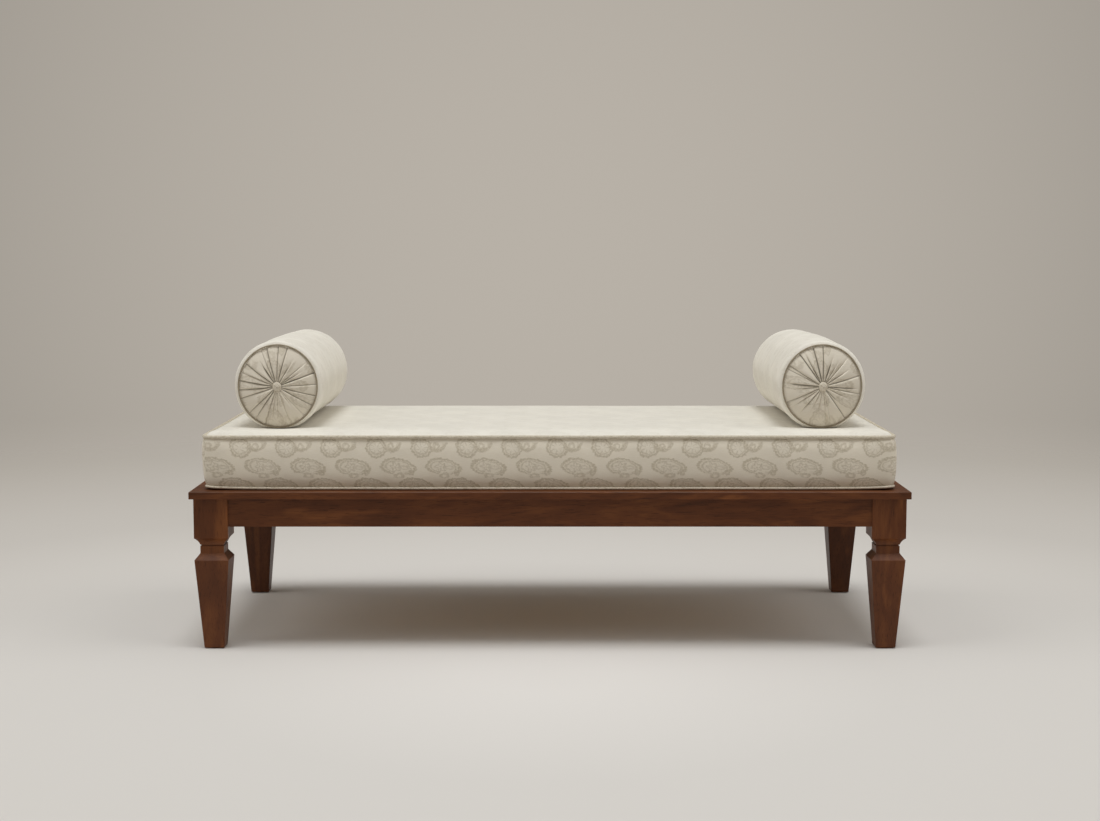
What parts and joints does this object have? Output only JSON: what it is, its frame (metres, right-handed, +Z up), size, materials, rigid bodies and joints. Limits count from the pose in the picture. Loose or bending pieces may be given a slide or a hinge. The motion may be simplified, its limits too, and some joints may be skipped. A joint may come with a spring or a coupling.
{
  "type": "daybed",
  "caption": "Backless daybed: slatted walnut frame on square tapered legs with a notched neck, a boxed piped mattress and round bolsters with gathered, buttoned ends.",
  "frame": {"origin": "on the floor, under the middle of the top frame", "axes": "+X along the length, to the right seen from the front; the long front side faces -Y; +Z up"},
  "size_m": [1.98, 0.88, 0.8436],
  "materials": {
    "walnut": "satin",
    "pine": "matte",
    "cover_fabric": "matte",
    "piping_fabric": "matte",
    "foam": "matte",
    "zip_tape": "matte",
    "zip_metal": "satin",
    "zinc_steel": "satin",
    "glide_nylon": "matte"
  },
  "bodies": {
    "frame": {"leg_front_left": "walnut", "leg_front_right": "walnut", "leg_rear_left": "walnut", "leg_rear_right": "walnut", "front_rail": "walnut", "rear_rail": "walnut", "left_rail": "walnut", "right_rail": "walnut", "front_board": "walnut", "rear_board": "walnut", "left_board": "walnut", "right_board": "walnut", "front_cleat": "pine", "rear_cleat": "pine", "centre_stretcher": "pine", "slat_1": "pine", "slat_2": "pine", "slat_3": "pine", "slat_4": "pine", "slat_5": "pine", "slat_6": "pine", "slat_7": "pine", "slat_8": "pine", "slat_9": "pine", "slat_10": "pine", "corner_block_front_left": "pine", "corner_block_front_right": "pine", "corner_block_rear_left": "pine", "corner_block_rear_right": "pine", "mitre_splines": "pine", "foot_glides": "glide_nylon", "hanger_bolts": "zinc_steel", "bolt_washers": "zinc_steel", "bolt_nuts": "zinc_steel", "corner_block_screws": "zinc_steel", "cleat_screws": "zinc_steel", "slat_screws": "zinc_steel"},
    "mattress": {"mattress_core": "foam", "mattress_cover": "cover_fabric", "mattress_piping": "piping_fabric", "mattress_zip": "zip_tape"},
    "mattress_zip_slider": {"mattress_zip_slider": "zip_metal"},
    "mattress_zip_pull": {"mattress_zip_pull": "zip_metal"},
    "bolster_left": {"bolster_left_core": "foam", "bolster_left_barrel": "cover_fabric", "bolster_left_end_panels": "cover_fabric", "bolster_left_welts": "piping_fabric", "bolster_left_buttons": "cover_fabric", "bolster_left_zip": "zip_tape"},
    "bolster_left_zip_slider": {"bolster_left_zip_slider": "zip_metal"},
    "bolster_left_zip_pull": {"bolster_left_zip_pull": "zip_metal"},
    "bolster_right": {"bolster_right_core": "foam", "bolster_right_barrel": "cover_fabric", "bolster_right_end_panels": "cover_fabric", "bolster_right_welts": "piping_fabric", "bolster_right_buttons": "cover_fabric", "bolster_right_zip": "zip_tape"},
    "bolster_right_zip_slider": {"bolster_right_zip_slider": "zip_metal"},
    "bolster_right_zip_pull": {"bolster_right_zip_pull": "zip_metal"}
  },
  "joints": [
    {"name": "mattress_lift", "type": "slide", "parent": "frame", "child": "mattress", "axis": [0, 0, 1], "range_m": [0, 0.3]},
    {"name": "bolster_left_lift", "type": "slide", "parent": "mattress", "child": "bolster_left", "axis": [0, 0, 1], "range_m": [0, 0.25]},
    {"name": "bolster_right_lift", "type": "slide", "parent": "mattress", "child": "bolster_right", "axis": [0, 0, 1], "range_m": [0, 0.25]},
    {"name": "mattress_zip_run", "type": "slide", "parent": "mattress", "child": "mattress_zip_slider", "axis": [1, 0, 0], "range_m": [0, 1.463]},
    {"name": "mattress_zip_pull_swing", "type": "hinge", "parent": "mattress_zip_slider", "child": "mattress_zip_pull", "pos_m": [-0.7315, 0.4083, 0.5183], "axis": [1, 0, 0], "range_deg": [-15, 150]},
    {"name": "bolster_left_zip_run", "type": "slide", "parent": "bolster_left", "child": "bolster_left_zip_slider", "axis": [0, -1, 0], "range_m": [0, 0.483]},
    {"name": "bolster_left_zip_pull_swing", "type": "hinge", "parent": "bolster_left_zip_slider", "child": "bolster_left_zip_pull", "pos_m": [-0.8875, 0.2415, 0.7236], "axis": [0, 1, 0], "range_deg": [-15, 150]},
    {"name": "bolster_right_zip_run", "type": "slide", "parent": "bolster_right", "child": "bolster_right_zip_slider", "axis": [0, -1, 0], "range_m": [0, 0.483]},
    {"name": "bolster_right_zip_pull_swing", "type": "hinge", "parent": "bolster_right_zip_slider", "child": "bolster_right_zip_pull", "pos_m": [0.8875, 0.2415, 0.7236], "axis": [0, -1, 0], "range_deg": [-15, 150]}
  ]
}
